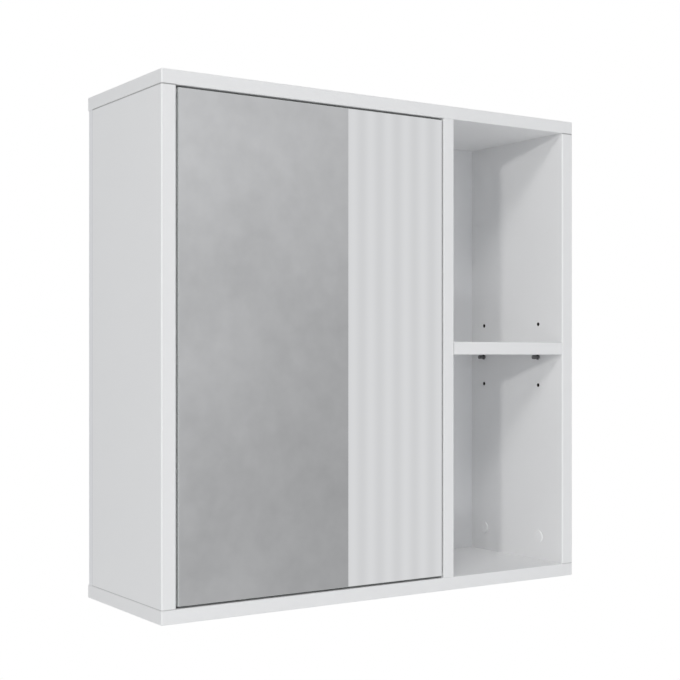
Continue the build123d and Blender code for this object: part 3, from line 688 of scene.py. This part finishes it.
def makeScrewTree():
    tree, given, result = newShapeTree("countersunkScrew", screwTreeSizes)
    size = {label: given.outputs[label] for label in screwTreeSizes}
    length = size["Length"]
    pointed = calc(tree, "MULTIPLY", size["Shank"], 2.2)
    core = calc(tree, "SUBTRACT", size["Shank"], size["Thread"])
    rimDepth = calc(tree, "MULTIPLY", size["Head"], 0.14)
    headFoot = calc(tree, "MULTIPLY", size["Head"], -1.0)
    stations = [
        (calc(tree, "MULTIPLY", core, 0.12), calc(tree, "MULTIPLY", length, -1.0)),
        (core, calc(tree, "SUBTRACT", pointed, length)),
        (core, calc(tree, "MULTIPLY", length, -0.45)),
        (calc(tree, "MULTIPLY", size["Shank"], 0.9), calc(tree, "MULTIPLY", length, -0.42)),
        (calc(tree, "MULTIPLY", size["Shank"], 0.9), headFoot),
        (size["Head radius"], calc(tree, "MULTIPLY", rimDepth, -1.0)),
        (size["Head radius"], calc(tree, "MULTIPLY", rimDepth, -0.25)),
        (calc(tree, "MULTIPLY", size["Head radius"], 0.93), 0.0),
    ]
    solid = turnedStack(tree, stations, 32)
    wide = calc(tree, "MULTIPLY", size["Head radius"], 1.25)
    deep = calc(tree, "MULTIPLY", size["Slot depth"], 2.0)
    bars = tree.nodes.new("GeometryNodeJoinGeometry")
    for x, y in ((wide, size["Slot"]), (size["Slot"], wide)):
        box = addNode(tree, "ShaderNodeCombineXYZ", {"X": x, "Y": y, "Z": deep})
        cube = addNode(tree, "GeometryNodeMeshCube", {"Size": box.outputs[0]})
        tree.links.new(cube.outputs["Mesh"], bars.inputs[0])
    pit = turnedStack(tree, [
        (calc(tree, "MULTIPLY", size["Slot"], 0.55), calc(tree, "MULTIPLY", size["Slot depth"], -1.35)),
        (calc(tree, "MULTIPLY", size["Slot"], 1.05), 0.0002)], 16)
    tree.links.new(pit, bars.inputs[0])
    cut = addNode(tree, "GeometryNodeMeshBoolean", {"Mesh 1": solid}, operation="DIFFERENCE", solver="EXACT")
    cut.inputs["Self Intersection"].default_value = True
    tree.links.new(bars.outputs[0], cut.inputs["Mesh 2"])
    threadRun = calc(tree, "SUBTRACT", calc(tree, "MULTIPLY", length, 0.55),
                     calc(tree, "MULTIPLY", pointed, 0.5))
    helix = addNode(tree, "GeometryNodeCurveSpiral", {
        "Resolution": 12, "Rotations": calc(tree, "DIVIDE", threadRun, size["Pitch"]), "Start Radius": core,
        "End Radius": core, "Height": threadRun})
    drop = addNode(tree, "ShaderNodeCombineXYZ", {
        "Z": calc(tree, "SUBTRACT", calc(tree, "MULTIPLY", pointed, 0.5), length)})
    lowered = addNode(tree, "GeometryNodeTransform", {
        "Geometry": helix.outputs[0], "Translation": drop.outputs[0]})
    ridge = addNode(tree, "GeometryNodeCurvePrimitiveCircle", {"Resolution": 4, "Radius": size["Thread"]})
    thread = addNode(tree, "GeometryNodeCurveToMesh", {
        "Curve": lowered.outputs[0], "Profile Curve": ridge.outputs[0], "Fill Caps": True})
    joined = tree.nodes.new("GeometryNodeJoinGeometry")
    tree.links.new(cut.outputs["Mesh"], joined.inputs[0])
    tree.links.new(thread.outputs[0], joined.inputs[0])
    placeOnPoints(tree, given, result, joined.outputs[0])
    return tree


growPiece("coverCaps", makeCapTree(), headPlaces("cam_cover_caps"), capSizes, materials["capPlastic"], "case",
          "cam_cover_caps")
growPiece("shelfPins", makePinTree(), headPlaces("shelf_pins"), pinSizes, materials["darkNickel"], "case",
          "shelf_pins")

# The screws, family by family: which way the head faces, and what is not the tree's own size
toWall, toRight, toLeft = (0, 1, 0), (1, 0, 0), (-1, 0, 0)
screwFamilies = {
    "backScrews": ("back_screws", toWall, "case",
                   {"Head radius": 0.0035, "Shank": 0.00175, "Length": 0.03}),
    "hangerScrews": ("hanger_screws", toWall, "case",
                     {"Head radius": 0.003, "Head": 0.0018, "Shank": 0.0015, "Length": 0.01, "Slot": 0.0008}),
    "hingeCupScrews": ("hinge_cup_screws", toWall, "door",
                       {"Head radius": 0.0034, "Head": 0.0018, "Shank": 0.00175, "Length": 0.01}),
    "hingePlateScrews": ("hinge_plate_screws", toRight, "case",
                         {"Head radius": 0.004, "Head": 0.002, "Shank": 0.0024, "Length": 0.013,
                          "Slot": 0.0011, "Slot depth": 0.0018}),
    "latchScrews": ("latch_screws", toLeft, "case",
                    {"Head radius": 0.0034, "Head": 0.0018, "Shank": 0.00175, "Length": 0.014}),
    "strikeScrew": ("strike_screw", toWall, "door",
                    {"Head radius": 0.0032, "Head": 0.0016, "Shank": 0.00175, "Length": 0.012, "Slot": 0.0008,
                     "Slot depth": 0.0012}),
}
screwTree = makeScrewTree()
for pieceName, (nodeName, axis, body, own) in screwFamilies.items():
    growPiece(pieceName, screwTree, headPlaces(nodeName, axis), {**screwTreeSizes, **own},
              materials["zincScrew"], body, nodeName)
# Latch spring: a coil from the bore's end to the plunger
springSizes = {"Coil radius": 0.0028, "Wire": 0.00045, "Turns": 8.0}
latchTravel, springPlay = 0.0025, 0.0001


def makeSpringTree():
    tree, given, result = newShapeTree("coilSpring", {**springSizes, "Length": 0.0265})
    size = {label: given.outputs[label] for label in (*springSizes, "Length")}
    run = calc(tree, "SUBTRACT", size["Length"], calc(tree, "MULTIPLY", size["Wire"], 2.0))
    helix = addNode(tree, "GeometryNodeCurveSpiral", {
        "Resolution": 32, "Rotations": size["Turns"], "Start Radius": size["Coil radius"],
        "End Radius": size["Coil radius"], "Height": run})
    drop = addNode(tree, "ShaderNodeCombineXYZ", {"Z": calc(tree, "SUBTRACT", size["Wire"], size["Length"])})
    lowered = addNode(tree, "GeometryNodeTransform", {
        "Geometry": helix.outputs[0], "Translation": drop.outputs[0]})
    section = addNode(tree, "GeometryNodeCurvePrimitiveCircle", {"Resolution": 12, "Radius": size["Wire"]})
    coil = addNode(tree, "GeometryNodeCurveToMesh", {
        "Curve": lowered.outputs[0], "Profile Curve": section.outputs[0], "Fill Caps": True})
    placeOnPoints(tree, given, result, coil.outputs[0])
    return tree


def makeLatchSpring():
    low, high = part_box("latch_spring")
    length = high.y - low.y - springPlay
    seats = headPlaces("latch_spring", toWall)
    spring = growPiece("latchSpring", makeSpringTree(), seats, {**springSizes, "Length": length},
                       materials["springSteel"], "case", "latch_spring")
    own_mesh(spring)


makeLatchSpring()
print("caps, pins, screws and spring made")


# Stage: pale floor well below the cabinet, cards that only the mirror and the metal see, and the lamps
stageSizes = {"floorHeight": -0.75, "floorReach": 60.0}
studio = {
    "worldColour": (0.955, 0.975, 1.0, 1),
    "worldStrength": 0.412,
    "backdrop": (1.0, 1.0, 1.0, 1),
    "floorColour": (0.9, 0.9, 0.9, 1),
    "floorSeen": 0.85,
    "shadowReach": 2.6,
}


def makeWorld():
    world = bpy.data.worlds.new("studio")
    scene.world = world
    world.use_nodes = True
    tree = world.node_tree
    light = tree.nodes["Background"]
    light.inputs["Color"].default_value = studio["worldColour"]
    light.inputs["Strength"].default_value = studio["worldStrength"]
    white = addNode(tree, "ShaderNodeBackground", {"Color": studio["backdrop"], "Strength": 1.0})
    seen = addNode(tree, "ShaderNodeLightPath")
    mix = addNode(tree, "ShaderNodeMixShader", {0: seen.outputs["Is Camera Ray"]})
    tree.links.new(light.outputs[0], mix.inputs[1])
    tree.links.new(white.outputs[0], mix.inputs[2])
    tree.links.new(mix.outputs[0], tree.nodes["World Output"].inputs["Surface"])


def makeFlat(name, corners):
    mesh = bpy.data.meshes.new(name)
    mesh.from_pydata(corners, [], [tuple(range(len(corners)))])
    flat = bpy.data.objects.new(name, mesh)
    scene.collection.objects.link(flat)
    return flat


def makeFloor():
    reach, z = stageSizes["floorReach"], stageSizes["floorHeight"]
    corners = [(-reach, -reach, z), (reach, -reach, z), (reach, reach, z), (-reach, reach, z)]
    floor = makeFlat("floor", corners)
    material, tree, surface, place = startMaterial("paleFloor")
    tone = useGroup(tree, toneGroup, {
        "Vector": place.outputs["Object"], "Colour": studio["floorColour"], "Amount": 0.01, "Scale": 0.7})
    tree.links.new(tone.outputs["Colour"], surface.inputs["Base Color"])
    surface.inputs["Roughness"].default_value = 0.9
    white = addNode(tree, "ShaderNodeEmission", {"Color": studio["backdrop"], "Strength": 1.0})
    seen = addNode(tree, "ShaderNodeLightPath")
    away = addNode(tree, "ShaderNodeVectorMath", {0: place.outputs["Object"]}, operation="LENGTH")
    near = calc(tree, "SUBTRACT", 1.0, calc(tree, "DIVIDE", away.outputs["Value"], studio["shadowReach"]))
    held = calc(tree, "MULTIPLY", calc(tree, "MAXIMUM", near, 0.0), 1.0 - studio["floorSeen"])
    share = calc(tree, "MULTIPLY", seen.outputs["Is Camera Ray"], calc(tree, "SUBTRACT", 1.0, held))
    mix = addNode(tree, "ShaderNodeMixShader", {0: share})
    tree.links.new(surface.outputs[0], mix.inputs[1])
    tree.links.new(white.outputs[0], mix.inputs[2])
    tree.links.new(mix.outputs[0], tree.nodes["Material Output"].inputs["Surface"])
    floor.data.materials.append(material)


# What the mirror reflects: glowing cards with the reflection painted on them, a grey card to the left painted
# lighter towards its top and one side, and a pale fluted one to the right with painted flute shading
cards = {
    "distance": 2.0,
    "low": -0.42,
    "high": 1.06,
    "greyFrom": 0.55,
    "split": 1.287,
    "paleTo": 1.75,
    "paleTint": (0.945, 0.952, 0.965),
    "greyBase": 0.84,
    "paintedLightUp": 0.3,
    "paintedLightSide": 0.2,
    "grey": (0.44, 0.443, 0.45, 1),
    "paleLevel": 0.735,
    "fluteCount": 7.0,
    "fluteShadeDepth": 0.03,
}


def makeCard(name, fromX, toX, paint):
    y = cadBox[0][1] - cards["distance"]
    card = makeFlat(name, [(fromX, y, cards["low"]), (toX, y, cards["low"]), (toX, y, cards["high"]),
                           (fromX, y, cards["high"])])
    card.visible_camera = card.visible_diffuse = card.visible_shadow = False
    material = bpy.data.materials.new(name)
    material.use_nodes = True
    tree = material.node_tree
    tree.nodes.remove(tree.nodes["Principled BSDF"])
    place = addNode(tree, "ShaderNodeTexCoord")
    glow = addNode(tree, "ShaderNodeEmission", {"Strength": 1.0})
    connect(tree, paint(tree, place.outputs["Object"]), glow.inputs["Color"])
    tree.links.new(glow.outputs[0], tree.nodes["Material Output"].inputs["Surface"])
    card.data.materials.append(material)
    return card


def paintGreyReflection(tree, vector):
    tone = useGroup(tree, toneGroup, {
        "Vector": vector, "Colour": cards["grey"], "Amount": 0.5, "Scale": 2.2})
    axes = addNode(tree, "ShaderNodeSeparateXYZ", {0: vector})
    rise = calc(tree, "SUBTRACT", axes.outputs["Z"], cards["low"])
    up = calc(tree, "DIVIDE", rise, cards["high"] - cards["low"])
    along = calc(tree, "DIVIDE", calc(tree, "SUBTRACT", cards["split"], axes.outputs["X"]),
                 cards["split"] - cards["greyFrom"])
    # Painted light: the grey card is lighter towards its top and towards one side
    lift = calc(tree, "ADD", calc(tree, "MULTIPLY", calc(tree, "MULTIPLY", up, up), cards["paintedLightUp"]),
                calc(tree, "MULTIPLY", along, cards["paintedLightSide"]))
    shaded = addNode(tree, "ShaderNodeVectorMath", {
        0: tone.outputs["Colour"], 3: calc(tree, "ADD", lift, cards["greyBase"])}, operation="SCALE")
    return shaded.outputs[0]


# Even flutes: painted shading, the level rises and falls once a flute, as light does over a shallow round
def paintPaleReflection(tree, vector):
    axes = addNode(tree, "ShaderNodeSeparateXYZ", {0: vector})
    across = calc(tree, "SUBTRACT", axes.outputs["X"], cards["split"])
    turns = 2 * math.pi * cards["fluteCount"] / (cards["paleTo"] - cards["split"])
    wave = calc(tree, "SINE", calc(tree, "MULTIPLY", across, turns))
    level = calc(tree, "ADD", calc(tree, "MULTIPLY", wave, cards["fluteShadeDepth"]), cards["paleLevel"])
    shaded = addNode(tree, "ShaderNodeVectorMath", {0: cards["paleTint"], 3: level}, operation="SCALE")
    return shaded.outputs[0]


lamps = {
    "key": {"place": (-4.79, -3.489, 1.342), "aim": (0.05, -0.1, 0.3), "size": (0.3, 0.3),
            "power": 58.0, "colour": (1.0, 0.99, 0.97)},
    "highKey": {"place": (-1.271, -2.933, 3.537), "aim": (0.05, -0.1, 0.3), "size": (1.2, 1.2),
                "power": 22.0, "colour": (1.0, 0.992, 0.98)},
    "sideHighKey": {"place": (-2.386, -2.805, 2.945), "aim": (0.05, -0.1, 0.3), "size": (1.0, 1.0),
                    "power": 30.0, "colour": (1.0, 0.992, 0.98)},
    "lowFill": {"place": (-0.202, -2.497, -0.674), "aim": (0.05, -0.1, 0.3), "size": (1.8, 0.5),
                "power": 8.2, "colour": (0.98, 0.99, 1.0)},
    "wallSideFill": {"place": (1.4, 3.2, 1.9), "aim": (0.0, 0.0, 0.3), "size": (2.2, 2.2),
                     "power": 60.0, "colour": (1.0, 1.0, 1.0)},
}


def makeLamp(name, lamp):
    data = bpy.data.lights.new(name, "AREA")
    data.shape = "RECTANGLE"
    data.size, data.size_y = lamp["size"]
    data.energy = lamp["power"]
    data.color = lamp["colour"]
    piece = bpy.data.objects.new(name, data)
    piece.location = lamp["place"]
    aim = Vector(lamp["aim"]) - Vector(lamp["place"])
    piece.rotation_euler = aim.to_track_quat("-Z", "Y").to_euler()
    piece.visible_glossy = False
    scene.collection.objects.link(piece)


makeWorld()
makeFloor()
makeCard("greyCard", cards["greyFrom"], cards["split"], paintGreyReflection)
makeCard("paleCard", cards["split"], cards["paleTo"], paintPaleReflection)
for lampName, lamp in lamps.items():
    makeLamp(lampName, lamp)
print("stage and lamps made")
